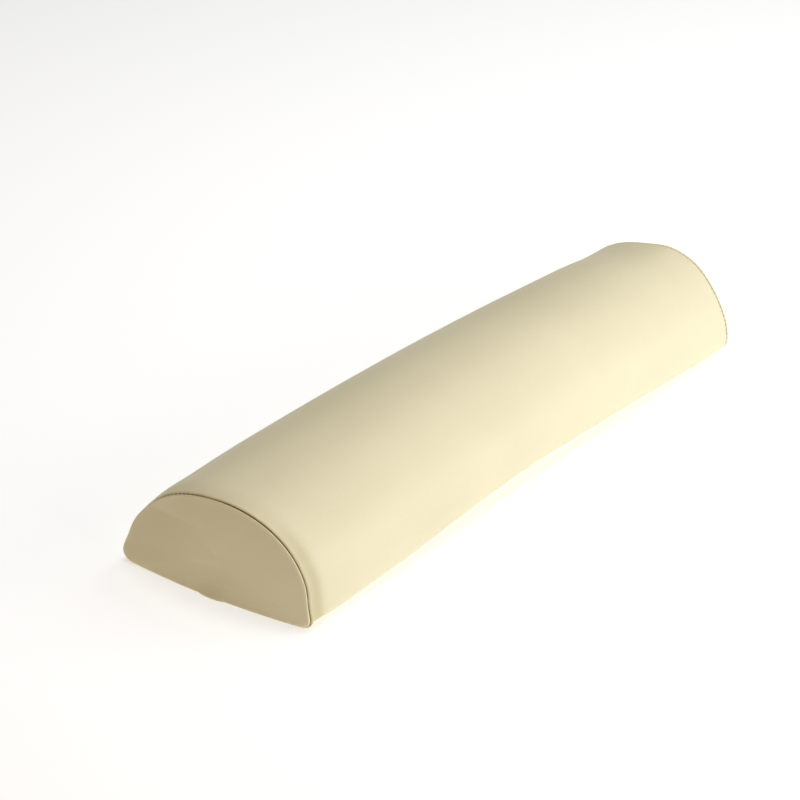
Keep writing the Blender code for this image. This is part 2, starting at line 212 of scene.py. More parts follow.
ZIP_STITCH_DEPTH = 0.0001               # depth of its middle in the vinyl
ZIP_STITCH_SINK = 0.00035               # and how much deeper its ends are
ZIP_STITCH_TAPER = (0.45, 0.85, 1.0, 1.0, 1.0, 1.0, 1.0, 0.85, 0.45)
ZIP_THREAD = 0.00027                    # radius

# Colours: each material varies between a dark and a light tone
VINYL_TONES = ((0.825, 0.752, 0.517), (0.865, 0.792, 0.552))
# colour of the painted shade that the vinyl's point attribute mixes in
PAINTED_SHADE_COLOUR = (0.37, 0.28, 0.07)
THREAD_TONES = ((0.16, 0.12, 0.05), (0.34, 0.28, 0.15))
FOAM_TONES = ((0.52, 0.46, 0.30), (0.82, 0.76, 0.56))
FLEECE_TONES = ((0.62, 0.62, 0.60), (0.90, 0.90, 0.88))
TAPE_TONES = ((0.52, 0.46, 0.30), (0.74, 0.68, 0.49))
COIL_TONES = ((0.56, 0.50, 0.34), (0.66, 0.60, 0.42))
ZIP_THREAD_TONES = ((0.50, 0.43, 0.27), (0.74, 0.66, 0.46))
NICKEL_TONES = ((0.50, 0.49, 0.46), (0.66, 0.65, 0.61))
WHITE = (1.0, 1.0, 1.0)
FLOOR_COLOUR = (0.75, 0.75, 0.75)

# Floor, light and camera
FLOOR_GLOW = 0.490                      # a lit table, so that the floor stays pale
FLOOR_REACH = 6.0
SURROUND = 0.02                         # strength of the light from all round
LIGHTS = (                              # name, azimuth, elevation, power in watts and colour
    ("front", 0.0, 10.0, 16.9, WHITE),
    ("front_right", 31.0, 15.0, 19.6, WHITE),
    ("right", 84.0, 45.0, 10.4, WHITE),
    ("above", 0.0, 88.0, 24.0, WHITE),
    ("left", -90.0, 22.0, 4.15, (1.0, 0.545, 0.0)),
    ("behind", 150.0, 32.0, 1.4, WHITE),
)
LIGHT_DISTANCE = 2.2
LIGHT_SIZE = 1.4
CAMERA_ANGLES = (-51.401, 28.717, 0.477)  # azimuth, elevation and roll
CAMERA_TARGET = Vector((0.0, 0.0, 0.04))
CAMERA_MOVE = (-0.0546, 0.0102)         # to its own right, and up
CAMERA_DISTANCE = 2.3164
CAMERA_LENS = 110.5


# Numbers

def smooth(value, start, end):
    """0 before start, 1 after end and a smooth rise between them."""
    part = np.clip((value - start) / (end - start), 0.0, 1.0)
    return part * part * (3 - 2 * part)


def hill(value, middle, wide):
    """Bell curve: 1 at the middle and 0.37 this wide of it."""
    return np.exp(-((value - middle) / wide) ** 2)


def spot(y, z, middle, wide):
    """Round bell over the section."""
    return hill(y, middle[0], wide) * hill(z, middle[1], wide)


def hump(value, middle, half):
    """Parabola: 1 at the middle and 0 from half on."""
    return np.clip(1 - ((value - middle) / half) ** 2, 0.0, 1.0)


def fading(distance, reach):
    """1 at no distance and 0.37 at the reach."""
    return np.exp(-distance / reach)


def below(z, height):
    """1 on the ground and 0 from a height on."""
    return np.clip(1 - z / height, 0.0, 1.0)


def through(values, x):
    """Quadratic through the values at the near end, the middle and the far end."""
    near, middle, far = values
    q = x / END
    return middle + (far - near) / 2 * q + ((near + far) / 2 - middle) * q * q


def points_at(x, y, z):
    """Points from their coordinates, each spread to the same shape."""
    return np.stack(np.broadcast_arrays(x, y, z), axis=-1)


def waves(position, lengths, phase=0.0):
    """Sum of sines of unlike lengths, about 1 at most: an uneven but repeatable ripple."""
    total = 0.0
    for number, length in enumerate(lengths):
        total = total + np.sin(2 * math.pi * position / length + phase + 1.7 * number)
    return total / len(lengths)


# The bolster's form

def arch(x):
    """Height of the underside above the ground at x."""
    distance = np.abs(x)
    inner = ARCH_CENTRE + np.sqrt(ARCH_RADIUS ** 2 - np.minimum(distance, BLEND_START) ** 2)
    left = np.clip(1 - (distance - BLEND_START) / BLEND_REACH, 0.0, 1.0)
    return np.where(distance <= BLEND_START, inner, BLEND_HEIGHT * left ** 2)


def valley_depth(x):
    """Depth of the zip's valley at x."""
    return VALLEY_DEPTH - (VALLEY_DEPTH - VALLEY_AT_END) * smooth(np.abs(x), *VALLEY_FADE)


def near_features(y, z, near):
    """Features of the near end: what each moves, and each point's share of it."""
    left = np.clip(2 * y / WIDTH, 0, 1)
    right = np.clip(-2 * y / WIDTH, 0, 1)
    ear = below(z, 0.7 * CROWN) * fading(near, 0.030)
    belly = hump(y, middle=0.005, half=0.095) * below(z, 0.030) ** 2
    fold = np.sqrt(hump(y, middle=0.003, half=0.013)) * below(z, 0.014) ** 2
    lift = smooth(-y, 0.030, WIDTH / 2) * below(z, 0.040) ** 2
    behind_tip = smooth(near, 0.0045, 0.0080) * fading(near, 0.045)
    sink = smooth(y, -0.012, 0.045) * smooth(z, 0.035, 0.075)
    return (
        (NEAR_TURN, y * fading(near, 0.050)),
        (EAR_FACE, ear * np.clip(0.5 + y / WIDTH, 0, 1)),
        (EAR_SIDE, ear * left ** 2),
        (EAR_TIP, spot(y, z, middle=(0.090, 0.012), wide=0.010) * fading(near, 0.008)),
        (BELLY, belly * fading(near, 0.030)),
        (ZIP_END_FOLD, fold * fading(near, 0.006)),
        (CORNER_LIFT, lift * behind_tip),
        (CORNER_POINT, spot(y, z, middle=(-0.091, 0.004), wide=0.007) * fading(near, 0.005)),
        (FLANK, right * hill(z, middle=0.024, wide=0.014) * fading(near, 0.025)),
        (SHOULDER, left * hill(z, middle=0.048, wide=0.024) * fading(near, 0.040)),
        (SEAM_SINK, sink * fading(near, 0.014)),
    )


def far_features(y, z, far):
    """Features of the far end, in the same way."""
    high = np.clip(z / 0.080, 0, 1) ** 2
    return (
        (FAR_LEAN, z / CROWN * fading(far, 0.030)),
        (FAR_FOOT, below(z, 0.050) * fading(far, 0.020)),
        (FAR_PEAK, high * hill(y, middle=-0.012, wide=0.019) * fading(far, 0.030)),
        (FAR_KNUCKLE, high * hill(y, middle=-0.038, wide=0.038) * fading(far, 0.030)),
    )


def long_features(x, y, z, near, far):
    """Features between the ends, in the same way."""
    middle = 1 - (x / END) ** 2
    top_left = np.clip(z / CROWN, 0, 1) ** 2 * smooth(y, -0.040, 0.020)
    wave = np.cos(2 * math.pi * (x + 0.040) / HEM_WAVE_LENGTH)
    return (
        (NEAR_FILL, top_left * hill(near, middle=0.085, wide=0.050)),
        (FAR_FILL, top_left * hill(far, middle=0.072, wide=0.045)),
        (BEND, middle * smooth(np.abs(y) + z, 0.010, 0.040)),
        (HEM_WAVE, middle * wave * smooth(-y, 0.040, 0.080) * below(z, 0.060)),
    )


def sculpt(points):
    """Lay points of the straight model over the arch, with the stuffed cover's features."""
    x, y, z = (points[..., axis] for axis in range(3))
    near = np.maximum(x + END, -PAST_END)
    far = np.maximum(END - x, -PAST_END)
    features = near_features(y, z, near) + far_features(y, z, far) + long_features(x, y, z, near, far)
    moved = np.array(points, float)
    for size, share in features:
        moved += np.array(size) * share[..., None]
    moved[..., 2] = np.maximum(moved[..., 2] + arch(x), 0.0)
    return moved


def steps(start, end, count, power=1.0):
    """Evenly growing places from start up to, but not including, end."""
    return start + (end - start) * (np.arange(count) / count) ** power


def half_outline(x, slot, valley):
    """(y, z) of the +Y half of the section at each x, from the slot's edge to the top."""
    width = through(WIDTHS, x) / 2
    crown = through(CROWNS, x)
    bend = 2 / through(DOME_POWERS, x)
    near = END + x
    size = 1 - (1 - END_SIZES[0]) * fading(near, END_FADES[0])
    size = size - (1 - END_SIZES[1]) * fading(END - x, END_FADES[1])
    width = width * size
    crown = crown * size
    round_edge = CORNER - (CORNER - SHARP_CORNER) * fading(near, SHARP_REACH)
    middle = steps(slot, VALLEY_EDGE, SECTION_POINTS[0], 1.4)
    flat = steps(0.0, 1.0, SECTION_POINTS[1])
    corner = steps(0.0, math.pi / 2, SECTION_POINTS[2])
    dome = steps(0.0, math.pi / 2, SECTION_POINTS[3])
    bottom = 0.0 * width                # spreads a row of values over every x
    dip = np.clip((np.abs(middle) - VALLEY_FLAT) / (VALLEY_EDGE - VALLEY_FLAT), 0, 1)
    stitched = STITCH_DENT * hill(middle, STITCH_LINE, wide=0.0009)
    valley_z = valley * (valley_depth(x) * (1 + np.cos(math.pi * dip)) / 2 + stitched)
    y = np.concatenate([
        bottom + middle,
        VALLEY_EDGE + (width - round_edge - VALLEY_EDGE) * flat,
        width - round_edge + round_edge * np.sin(corner),
        width * np.cos(dome) ** bend,
    ], axis=1)
    z = np.concatenate([
        bottom + valley_z,
        bottom + 0.0 * flat,
        bottom + round_edge * (1 - np.cos(corner)),
        round_edge + (crown - round_edge) * np.sin(dome) ** bend,
    ], axis=1)
    return y, z, crown


def outline(x, slot=SLOT, valley=1.0):
    """(y, z) round the section at each x, a column, from the left slot edge over the top to the right."""
    y, z, crown = half_outline(x, slot, valley)
    y = np.concatenate([y, 0.0 * x, -y[:, ::-1]], axis=1)
    z = np.concatenate([z, crown, z[:, ::-1]], axis=1)
    return y, z


def inward(y, z):
    """Unit vectors that point into the section, in its own plane."""
    along_y = np.gradient(y, axis=1)
    along_z = np.gradient(z, axis=1)
    size = np.hypot(along_y, along_z) + 1e-12
    return -along_z / size, along_y / size


def round_length(y, z):
    """Distance along the section's outline, from the top."""
    pieces = np.hypot(np.diff(y, axis=1), np.diff(z, axis=1))
    length = np.concatenate([np.zeros((len(y), 1)), np.cumsum(pieces, axis=1)], axis=1)
    return length - length[:, [length.shape[1] // 2]]


def seam_depth(z):
    """How far the seam lies in from the end's face: more along the base."""
    base = smooth(-z, -1.6 * CORNER, -0.1 * CORNER)
    return SEAM_IN_DOME + (SEAM_IN_BASE - SEAM_IN_DOME) * base


def below_top(z):
    """1 low down, fading to 0 at the top."""
    return smooth(-z, -0.105, -0.050)


def right_tip(y, z):
    """1 at the right lower corner of the near end, and 0 away from it."""
    return spot(y, z, middle=(-TIP_Y, 0.002), wide=0.007)


def stitch_shade(y, z):
    """Strength of the seam's painted shade: full on the right, faint on top and broken between stitches
    on the left.
    """
    between = 0.5 + 0.5 * np.cos(2 * math.pi * round_length(y, z) / SEAM_STITCH)
    broken = 1 - 0.85 * smooth(y, 0.020, 0.040) * between
    faint = 1 - 0.55 * hill(y, middle=0.014, wide=0.020) * smooth(z, 0.030, 0.060)
    return broken * faint * (1 - 0.8 * smooth(y, 0.066, 0.080))


def skin_grid(places, insets, slot=SLOT, ruffled=True):
    """Rings of the cover at places along X, moved inwards by insets, ruffled by the end seams."""
    x = places[:, None]
    y, z = outline(x, slot)
    into_y, into_z = inward(y, z)
    near = END + x
    far = END - x
    depth = insets[:, None]
    if ruffled:
        length = round_length(y, z)
        waist = below_top(z) * smooth(z, -0.004, 0.006)
        for distance, phase, strength in ((near, 0.3, 1.0), (far, 2.1, 0.8)):
            neck = NECK * waist * fading(distance, 0.008)
            pucker = waves(length, PUCKER_LENGTHS, phase) * fading(distance, 0.011)
            pucker = PUCKER * pucker * (1 + 1.4 * fading(z, 0.020))
            depth = depth + strength * (neck + pucker)
        x = x - WRAP_TIP * right_tip(y, z) * fading(near, 0.007)
    shift = seam_depth(z) - SEAM_IN_DOME
    x = x + shift * (fading(near, 0.008) - fading(far, 0.008))
    return points_at(x, y + into_y * depth, z + into_z * depth)


# Meshes

def new_object(name, points, faces, painted_shade=None):
    """Make a mesh object, shaded smooth, with its faces pointing out and its painted shade stored as a
    point attribute.
    """
    mesh = bpy.data.meshes.new(name)
    mesh.from_pydata(np.asarray(points, float).reshape(-1, 3).tolist(), [], faces)
    if painted_shade is not None:
        # painted shade: how far each point's colour is darkened toward the painted-shade colour
        marks = mesh.attributes.new("painted_shade", "FLOAT", "POINT")
        marks.data.foreach_set("value", np.asarray(painted_shade, np.float32).ravel())
    work = bmesh.new()
    work.from_mesh(mesh)
    bmesh.ops.remove_doubles(work, verts=work.verts, dist=0.000002)
    bmesh.ops.recalc_face_normals(work, faces=work.faces)
    work.to_mesh(mesh)
    work.free()
    mesh.shade_smooth()
    item = bpy.data.objects.new(name, mesh)
    bpy.context.scene.collection.objects.link(item)
    return item


def grid_faces(rows, columns, first=0):
    """Quads of a grid whose rows are closed rings."""
    faces = []
    for row in range(rows - 1):
        for column in range(columns):
            a = first + row * columns + column
            b = first + row * columns + (column + 1) % columns
            faces.append((a, b, b + columns, a + columns))
    return faces


def outward_normals(grid):
    """Unit normals of a grid, turned to point up if the grid runs over the bolster's top."""
    normal = np.cross(np.gradient(grid, axis=0), np.gradient(grid, axis=1))
    normal = normal / (np.linalg.norm(normal, axis=2, keepdims=True) + 1e-15)
    row, column = len(grid) // 2, grid.shape[1] // 2
    over_top = grid[row, column, 2] > HEIGHT / 2
    if over_top and normal[row, column, 2] < 0:
        normal = -normal
    return normal


def thick_sheet(name, grid, thickness, turns=4, painted_shade=None):
    """Closed sheet below an open grid, with half-round edges along both sides."""
    normal = outward_normals(grid)
    inner = grid - thickness * normal
    edges = []
    for column, before in ((-1, -2), (0, 1)):
        outwards = grid[:, column] - grid[:, before]
        outwards = outwards / np.linalg.norm(outwards, axis=1, keepdims=True)
        centre = (grid[:, column] + inner[:, column]) / 2
        angle = math.pi * np.arange(1, turns)[:, None] / turns
        turned = np.cos(angle) * normal[:, [column]] + np.sin(angle) * outwards[:, None]
        arc = centre[:, None] + thickness / 2 * turned
        edges.append(arc if column else arc[:, ::-1])
    rings = np.concatenate([grid, edges[0], inner[:, ::-1], edges[1]], axis=1)
    rows, columns = rings.shape[:2]
    if painted_shade is not None:
        painted_shade = np.concatenate([painted_shade, np.zeros((rows, columns - painted_shade.shape[1]))], axis=1)
    faces = grid_faces(rows, columns)
    width = grid.shape[1]
    for start in (0, (rows - 1) * columns):
        # Each end is closed by quads between both sides of the sheet, and a fan at each edge
        for column in range(width - 1):
            back = start + 2 * width + turns - 2 - column
            faces.append((start + column, start + column + 1, back - 1, back))
        faces.append(tuple(start + width - 1 + step for step in range(turns + 1)))
        last = start + columns - turns
        faces.append((*range(last, last + turns), start))
    return new_object(name, rings, faces, painted_shade)


def capped_rings(name, rings, painted_shade=None):
    """Closed body through a stack of closed rings, with a point in the middle of each end."""
    rows, columns = rings.shape[:2]
    faces = grid_faces(rows, columns)
    points = rings.reshape(-1, 3)
    poles = np.array([rings[0].mean(axis=0), rings[-1].mean(axis=0)])
    for pole, start in ((0, 0), (1, (rows - 1) * columns)):
        for column in range(columns):
            faces.append((rows * columns + pole, start + column, start + (column + 1) % columns))
    if painted_shade is not None:
        painted_shade = np.append(painted_shade.ravel(), [0.0, 0.0])
    return new_object(name, np.concatenate([points, poles]), faces, painted_shade)


def tube_rings(path, radius, taper=1.0):
    """Rings of a tube along a path of points."""
    along = np.gradient(path, axis=0)
    along /= np.linalg.norm(along, axis=1, keepdims=True)
    across = np.cross(along, TUBE_START)
    across /= np.linalg.norm(across, axis=1, keepdims=True)
    third = np.cross(along, across)
    size = np.full(len(path), radius) * taper
    angle = 2 * math.pi * np.arange(TUBE_SIDES)[:, None] / TUBE_SIDES
    turned = np.cos(angle) * across[:, None] + np.sin(angle) * third[:, None]
    return path[:, None] + size[:, None, None] * turned


def join_rings(name, stacks):
    """One object made of many capped stacks of rings."""
    points, faces, first = [], [], 0
    for rings in stacks:
        rows, columns = rings.shape[:2]
        faces += grid_faces(rows, columns, first)
        for start in (first, first + (rows - 1) * columns):
            faces.append(tuple(range(start, start + columns)))
        points.append(rings.reshape(-1, 3))
        first += rows * columns
    return new_object(name, np.concatenate(points), faces)


# Stuffing: a closed bag of cloth under pressure, held along its seams

def end_distances(start, reach, count, power):
    """Distances in from an end's face, growing from start over the reach."""
    return start + reach * (np.arange(count + 1) / count) ** power


def between_ends(distances, count):
    """Places along X at these distances in from both faces, and evenly spaced ones between."""
    inner = END - distances[-1]
    middle = np.linspace(-inner, inner, count)[1:-1]
    return np.concatenate([distances - END, middle, END - distances[::-1]])


def bag_places():
    """Places along X of the bag's rings between the end seams."""
    distances = end_distances(SEAM_IN_DOME, BAG_RING_REACH, BAG_RING_COUNTS[0], BAG_RING_GROWTH)
    return between_ends(distances, BAG_RING_COUNTS[1])


def bag_panel(side, bulge):
    """Rings of one end of the bag, from the middle outwards, straight."""
    y, z = outline(np.array([[side * END]]))
    part = BAG_PARTS[:, None]
    x = side * (END + bulge * (1 - part ** PANEL_POWER))
    return points_at(x, part * y, PANEL_HEART + part * (z - PANEL_HEART))


def bag_rings(inset, bulge):
    """All rings of the bag, laid over the arch: smaller by an inset, with part of the bulge."""
    places = bag_places()
    insets = inset * (1 - fading(END - np.abs(places) - SEAM_IN_DOME, END_FADES[0]))
    wrap = skin_grid(places, insets, ruffled=False)
    near = bag_panel(-1, bulge * PANEL_BULGES[0])
    far = bag_panel(1, bulge * PANEL_BULGES[1])[::-1]
    return sculpt(np.concatenate([near, wrap, far]))[:, ::BAG_SKIP]


def run_cloth(start, held_rows):
    """Blow up a closed bag, held at some rows and along the zip, and return where it ends."""
    rows, columns = start.shape[:2]
    bag = capped_rings("bag", start)
    held = bag.vertex_groups.new(name="held")
    for row in range(rows):
        fixed = range(columns) if row in held_rows else (0, 1, columns - 2, columns - 1)
        held.add([row * columns + column for column in fixed], 1.0, "REPLACE")
    cloth = bag.modifiers.new("stuffing", "CLOTH")
    cloth.point_cache.frame_start = 1
    cloth.point_cache.frame_end = BAG_FRAMES
    settings = cloth.settings
    settings.quality = 6
    settings.mass = 0.3
    settings.tension_stiffness = settings.compression_stiffness = BAG_STIFFNESS
    settings.shear_stiffness = BAG_STIFFNESS / 3
    settings.bending_stiffness = 2.0
    settings.use_pressure = True
    settings.uniform_pressure_force = BAG_PRESSURE
    settings.vertex_group_mass = "held"
    settings.effector_weights.gravity = 0.0
    for step in range(1, BAG_FRAMES + 1):
        bpy.context.scene.frame_set(step)
    stuffed = bag.evaluated_get(bpy.context.evaluated_depsgraph_get()).to_mesh()
    points = np.empty(len(stuffed.vertices) * 3)
    stuffed.vertices.foreach_get("co", points)
    bpy.context.scene.frame_set(1)
    bpy.data.objects.remove(bag)
    return points.reshape(-1, 3)[:rows * columns].reshape(start.shape)


def stuff_bag():
    """How far the simulated bag ends from the fitted form, whose middle section it keeps."""
    fitted = bag_rings(0.0, 1.0)
    places = bag_places()
    first, last = len(BAG_PARTS), len(BAG_PARTS) + len(places) - 1
    moved = run_cloth(bag_rings(BAG_INSET, BAG_CROWN), (first, last)) - fitted
    wrap = moved[first:last + 1]
    # The middle's mean section stays as fitted, and what is left is capped and smoothed
    excess = wrap[np.abs(places) < BAG_MIDDLE].mean(axis=0)
    wrap -= smooth(END - np.abs(places), SEAM_IN_DOME, BAG_NECK)[:, None, None] * excess
    moved *= np.minimum(1.0, BAG_CAP / (np.linalg.norm(moved, axis=2, keepdims=True) + 1e-9))
    loose = moved[1:-1, 1:-1]
    for _ in range(BAG_SMOOTHINGS):
        loose += 0.25 * (moved[:-2, 1:-1] + moved[2:, 1:-1] - 2 * loose)
        loose += 0.25 * (moved[1:-1, :-2] + moved[1:-1, 2:] - 2 * loose)
        moved[[first, last]] = 0.0
    # The panels' rings run from the middle of their faces out to the seams, which don't move
    ends = {"wrap": (places, wrap)}
    for side, panel in ((-1, moved[:first + 1]), (1, moved[last:][::-1])):
        middle = np.repeat(panel[:1].mean(axis=1, keepdims=True), panel.shape[1], axis=1)
        panel[0] = (panel[0] + middle[0]) / 2
        ends[side] = (np.concatenate([[0.0], BAG_PARTS, [1.0]]), np.concatenate([middle, panel]))
    return ends


def cubic(places, known, values):
    """Smooth interpolation of values along their first axis."""
    slope = np.gradient(values, known, axis=0)
    index = np.clip(np.searchsorted(known, places) - 1, 0, len(known) - 2)
    width = (known[index + 1] - known[index])[:, None, None]
    part = np.clip((places - known[index])[:, None, None] / width, 0.0, 1.0)
    rest = 1 - part
    return (values[index] * (1 + 2 * part) * rest ** 2 + values[index + 1] * part ** 2 * (3 - 2 * part)
            + width * (slope[index] * part * rest ** 2 - slope[index + 1] * part ** 2 * rest))


def stuffed_points(points, swelling, key, rows, first=0):
    """Lay a grid of the straight model over the arch, swollen as the simulated bag is."""
    points = sculpt(points)
    if swelling:
        known, moved = swelling[key]
        columns = np.arange(moved.shape[1]) * float(BAG_SKIP)
        wanted = np.arange(first, first + points.shape[1], dtype=float)
        moved = cubic(wanted, columns, moved.transpose(1, 0, 2)).transpose(1, 0, 2)
        points = points + cubic(np.asarray(rows, float), known, moved)
        points[..., 2] = np.maximum(points[..., 2], 0.0)
    return points


# The cover

def seam_roll():
    """Distances in from the face and insets of the wrap's turned-in edge, from inside the seam on."""
    angle = math.pi / 2 * (1 - np.arange(ROLL_STEPS + 1) / ROLL_STEPS)
    distances = SEAM_IN_DOME + WRAP_ROLL * (1 - np.sin(angle))
    insets = WRAP_ROLL * (1 - np.cos(angle))
    turned_in = [ALLOWANCE, (ALLOWANCE + WRAP_ROLL) / 2]
    return np.append([SEAM_IN_DOME] * 2, distances), np.append(turned_in, insets)


def wrap_stations():
    """Places along X and insets of the wrap's rings."""
    edge, edge_insets = seam_roll()
    growing = end_distances(edge[-1], RING_REACH, RING_COUNTS[0], RING_GROWTH)[1:]
    places = between_ends(np.append(edge, growing), RING_COUNTS[1])
    insets = np.zeros(len(places))
    insets[:len(edge)] = edge_insets
    insets[-len(edge):] = edge_insets[::-1]
    return places, insets


def make_wrap(swelling):
    """Vinyl wrap, open over the zip."""
    places, insets = wrap_stations()
    grid = stuffed_points(skin_grid(places, insets), swelling, "wrap", places)
    x = places[:, None]
    y, z = outline(x)
    from_seam = np.maximum(END - np.abs(x) - SEAM_IN_DOME - WRAP_ROLL, 0.0)
    # Painted shade: dark in the seam's groove and just beside it, weaker at the far end, in a band behind
    # the near seam and along both lower edges
    painted_shade = smooth(insets, WRAP_ROLL * 0.25, WRAP_ROLL * 0.9)[:, None]
    painted_shade = np.maximum(painted_shade, SEAM_SHADE * fading(from_seam, 0.0005)) * stitch_shade(y, z)
    painted_shade = painted_shade * (1 - right_tip(y, z) * (x < 0)) * np.where(x < 0, 1.0, FAR_SHADE)
    painted_dent = hill(from_seam, middle=0.008, wide=0.007) * below_top(z) * (x < 0)
    painted_hem = hill(z, middle=0.004, wide=0.007) * smooth(np.abs(y), 0.060, 0.085)
    painted_shade = painted_shade + DENT_SHADE * painted_dent + HEM_SHADE * painted_hem
    return thick_sheet("cover_wrap", grid, VINYL, painted_shade=painted_shade)


def make_end_cover(name, side, bulge, swelling):
    """D-shaped end panel with a lip that stands at the seam, softly crowned."""
    face = side * END
    y, z = outline(np.array([[face]]), 0.0, 0.0)
    y, z = y[0, 1:], z[0, 1:]
    into_y, into_z = (part[0] for part in inward(y[None], z[None]))
    seam = seam_depth(z) - SEAM_GAP
    roll = seam / 2
    shoulder = np.maximum(roll, LIP_SHOULDER)
    pocket = CORNER_POCKET * spot(y, z, middle=(-TIP_Y, 0.005), wide=0.0065)
    inset = LIP_INSET + pocket * (side < 0)
    rings, painted_shade, parts = [], [], []

    def ring(distance, depth, part=1.0, mark=0.0):
        """One ring: distance in from the face, depth inside the outline, part of its size and its painted
        shade.
        """
        painted_shade.append(mark)
        parts.append(part)
        ring_y = part * (y + into_y * depth)
        ring_z = PANEL_HEART + part * (z + into_z * depth - PANEL_HEART)
        rings.append(points_at(face - side * distance, ring_y, ring_z))

    def crowned(part):
        """Outward bulge of the panel at a part of its size."""
        return bulge * (1 - part ** PANEL_POWER)

    for part in np.linspace(0.03, 1.0, PANEL_RINGS[0]):
        ring(VINYL - crowned(part), ALLOWANCE, part)
    # Painted shade on the turned-in edge and the back of the lip, inside the groove
    ring(seam, ALLOWANCE, mark=1.0)
    ring(seam, (ALLOWANCE + roll + inset) / 2, mark=1.0)
    for step in range(LIP_STEPS + 1):
        angle = math.pi * step / LIP_STEPS
        shade_mix = float(smooth(math.cos(angle), 0.3, 0.95))
        width = roll if 2 * step <= LIP_STEPS else shoulder
        ring(roll * (1 + math.cos(angle)), inset + width * (1 - math.sin(angle)), mark=shade_mix)
    for part in np.linspace(1.0, 0.02, PANEL_RINGS[1])[1:]:
        ring(-crowned(part), inset + shoulder, part)
    points = stuffed_points(np.stack(rings), swelling, side, parts, first=1)
    # Painted shade: the groove's, weaker at the far end, and a light darker, warmer tint over the panel's
    # face
    marks = np.array(painted_shade)[:, None] * stitch_shade(y[None], z[None])
    if side > 0:
        marks = marks * FAR_SHADE
    marks = np.maximum(marks, PANEL_SHADE * (np.array(parts) < 1)[:, None])
    return capped_rings("cover_end_" + name, points, marks)


def along_outline(face):
    """(y, z, into y, into z) of the seam's stitches round an end's outline."""
    y, z = outline(np.array([[face]]), 0.0, 0.0)
    into_y, into_z = inward(y, z)
    length = round_length(y, z)[0]
    marks = np.arange(length[0] + SEAM_STITCH / 2, length[-1], SEAM_STITCH)
    return [np.interp(marks, length, values[0]) for values in (y, z, into_y, into_z)]


def make_seam_stitches(name, side):
    """Rungs of thread that show across the groove of an end seam."""
    face = side * END
    stacks = []
    part = np.linspace(-1.0, 1.0, len(RUNG_TAPER))
    depth = RUNG_DEPTH + RUNG_SAG * (1 - part ** 2)
    for y, z, into_y, into_z in zip(*along_outline(face)):
        distance = seam_depth(z) - SEAM_GAP / 2 + RUNG_HALF * part
        path = points_at(face - side * distance, y + into_y * depth, z + into_z * depth)
        stacks.append(sculpt(tube_rings(path, SEAM_THREAD, RUNG_TAPER)))
    return join_rings("seam_stitches_" + name, stacks)


# Inside the cover

def make_wadding(swelling):
    """Fleece wrap between the foam and the cover, open over the zip."""
    places = np.linspace(-END + WADDING_END, END - WADDING_END, WADDING_RINGS)
    insets = np.full(WADDING_RINGS, VINYL + LAYER_GAP)
    straight = skin_grid(places, insets, WADDING_OPENING, ruffled=False)
    uneven = waves(straight[..., 0], (0.031, 0.047)) * waves(straight[..., 1], (0.023, 0.037))
    grid = stuffed_points(straight, swelling, "wrap", places)
    grid = grid - WADDING_UNEVEN * (1 + uneven[..., None]) * outward_normals(grid)
    return thick_sheet("wadding", grid, WADDING_SHEET)


def shrunk_rings(ring):
    """Smaller copies of a ring round its middle, the smallest first."""
    centre = ring.mean(axis=0)
    parts = np.linspace(0.05, 0.96, 12)[:, None, None]
    return centre + (ring - centre) * parts


def make_foam(swelling):
    """Half-round foam core."""
    stop = END - VINYL - LAYER_GAP
    rounded = stop - FOAM_ROUNDING
    places = np.concatenate([[-stop], np.linspace(-rounded, rounded, FOAM_RINGS), [stop]])
    insets = np.full(len(places), VINYL + WADDING + 2 * LAYER_GAP)
    insets[[0, -1]] += FOAM_ROUNDING
    grid = skin_grid(places, insets, 0.0, ruffled=False)[:, 1:]
    grid = stuffed_points(grid, swelling, "wrap", places, first=1)
    rings = [shrunk_rings(grid[0]), grid, shrunk_rings(grid[-1])[::-1]]
    return capped_rings("foam", np.concatenate(rings))


# The zip

def zip_height(x, height):
    """Height of something at a height above the underside, where the valley gets shallower too."""
    return height - (VALLEY_DEPTH - valley_depth(x))


def make_tape(name, side):
    """Woven tape on one side of the zip."""
    low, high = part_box("zip_tape_" + name)
    inner, outer = sorted((abs(low.y), abs(high.y)))
    places = np.linspace(-END + ZIP_STOP, END - ZIP_STOP, 200)
    across = np.linspace(inner, outer, 12)
    x, y = np.meshgrid(places, side * across, indexing="ij")
    z = zip_height(x, TAPE_LOW + TAPE_THICKNESS) + TAPE_RIPPLE * waves(x, (0.017, 0.029), side)
    return thick_sheet("tape_" + name, sculpt(points_at(x, y, z)), TAPE_THICKNESS, turns=3)


def make_coil(name, side):
    """One coil of the zip: turns of nylon wire that mesh with the other side's."""
    start = -END + ZIP_STOP
    turns = int(-2 * start / COIL_PITCH) - 1
    turn = np.arange(turns * COIL_STEPS) / COIL_STEPS
    angle = 2 * math.pi * turn
    shift = COIL_PITCH / 2 if side > 0 else 0.0
    x = start + COIL_INSET + COIL_PITCH * turn + shift
    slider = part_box("zip_slider")
    parted = 1 - smooth(x - slider[0].x, *COIL_PARTING)
    centre = COIL_MESHED + (COIL_PARTED - COIL_MESHED) * parted
    y = side * (centre + (COIL_WIDTH / 2 - COIL_WIRE) * np.cos(angle))
    height = TAPE_LOW - LAYER_GAP - COIL_HEIGHT / 2
    z = zip_height(x, height) + (COIL_HEIGHT / 2 - COIL_WIRE) * np.sin(angle)
    return join_rings("coil_" + name, [tube_rings(sculpt(points_at(x, y, z)), COIL_WIRE)])


